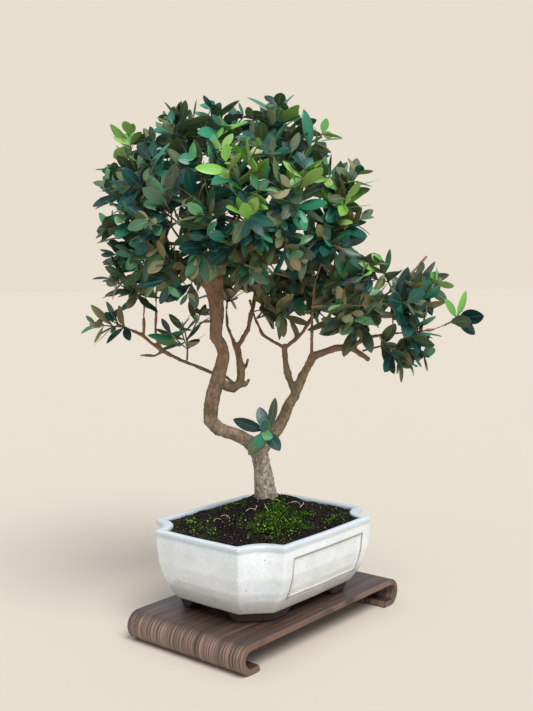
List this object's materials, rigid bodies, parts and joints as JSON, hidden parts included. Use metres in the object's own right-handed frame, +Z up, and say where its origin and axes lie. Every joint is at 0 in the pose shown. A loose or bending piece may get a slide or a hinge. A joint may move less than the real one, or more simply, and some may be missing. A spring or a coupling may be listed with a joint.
{
  "type": "olive bonsai",
  "caption": "Small olive tree trained as a bonsai, in a shallow glazed pot with cut-in corners on a low bent-wood stand.",
  "frame": {"origin": "on the floor under the middle of the whole part's bounding box", "axes": "+X along the long side of the stand and the pot, +Y along their short side, +Z up; the tree's front faces -X and -Y"},
  "size_m": [0.2826, 0.343, 0.5256],
  "materials": {
    "walnut_veneer": "satin",
    "white_glaze": "gloss glaze",
    "soil": "rough",
    "moss": "matt",
    "olive_bark": "rough",
    "olive_leaf": "leathery",
    "screen_plastic": "matt"
  },
  "bodies": {
    "root": {"drain_screen_left": "screen_plastic", "drain_screen_right": "screen_plastic", "moss_front": "moss", "pot": "white_glaze", "shoot_back_left_end": "olive_leaf", "shoot_back_left_low": "olive_leaf", "shoot_back_left_top": "olive_leaf", "shoot_back_mid": "olive_leaf", "shoot_back_right_end": "olive_leaf", "shoot_back_right_low": "olive_leaf", "shoot_back_right_top": "olive_leaf", "shoot_back_top": "olive_leaf", "shoot_crest_far": "olive_leaf", "shoot_crest_front": "olive_leaf", "shoot_crest_peak": "olive_leaf", "shoot_crest_right": "olive_leaf", "shoot_far_left_hang": "olive_leaf", "shoot_far_left_low": "olive_leaf", "shoot_far_left_mid": "olive_leaf", "shoot_far_left_top": "olive_leaf", "shoot_far_left_upper": "olive_leaf", "shoot_fork_left": "olive_leaf", "shoot_fork_mid": "olive_leaf", "shoot_fork_right": "olive_leaf", "shoot_fork_whorl": "olive_leaf", "shoot_front_bright": "olive_leaf", "shoot_front_high": "olive_leaf", "shoot_front_inner": "olive_leaf", "shoot_front_left_end": "olive_leaf", "shoot_front_left_low": "olive_leaf", "shoot_front_left_under": "olive_leaf", "shoot_front_low": "olive_leaf", "shoot_front_mid": "olive_leaf", "shoot_front_right_end": "olive_leaf", "shoot_front_right_low": "olive_leaf", "shoot_front_under": "olive_leaf", "shoot_left_crest": "olive_leaf", "shoot_left_front": "olive_leaf", "shoot_left_inner": "olive_leaf", "shoot_left_stem": "olive_leaf", "shoot_left_stem_two": "olive_leaf", "shoot_limb_left": "olive_leaf", "shoot_low_left_end": "olive_leaf", "shoot_reach_end": "olive_leaf", "shoot_reach_under": "olive_leaf", "shoot_reach_up": "olive_leaf", "shoot_right_end": "olive_leaf", "shoot_right_low": "olive_leaf", "shoot_right_under": "olive_leaf", "shoot_rise_bright": "olive_leaf", "shoot_rise_drop": "olive_leaf", "shoot_rise_end": "olive_leaf", "shoot_rise_left": "olive_leaf", "shoot_side_left": "olive_leaf", "shoot_top_front": "olive_leaf", "shoot_top_left": "olive_leaf", "shoot_top_mid": "olive_leaf", "soil": "soil", "stand": "walnut_veneer", "tree_wood": "olive_bark"}
  },
  "joints": []
}
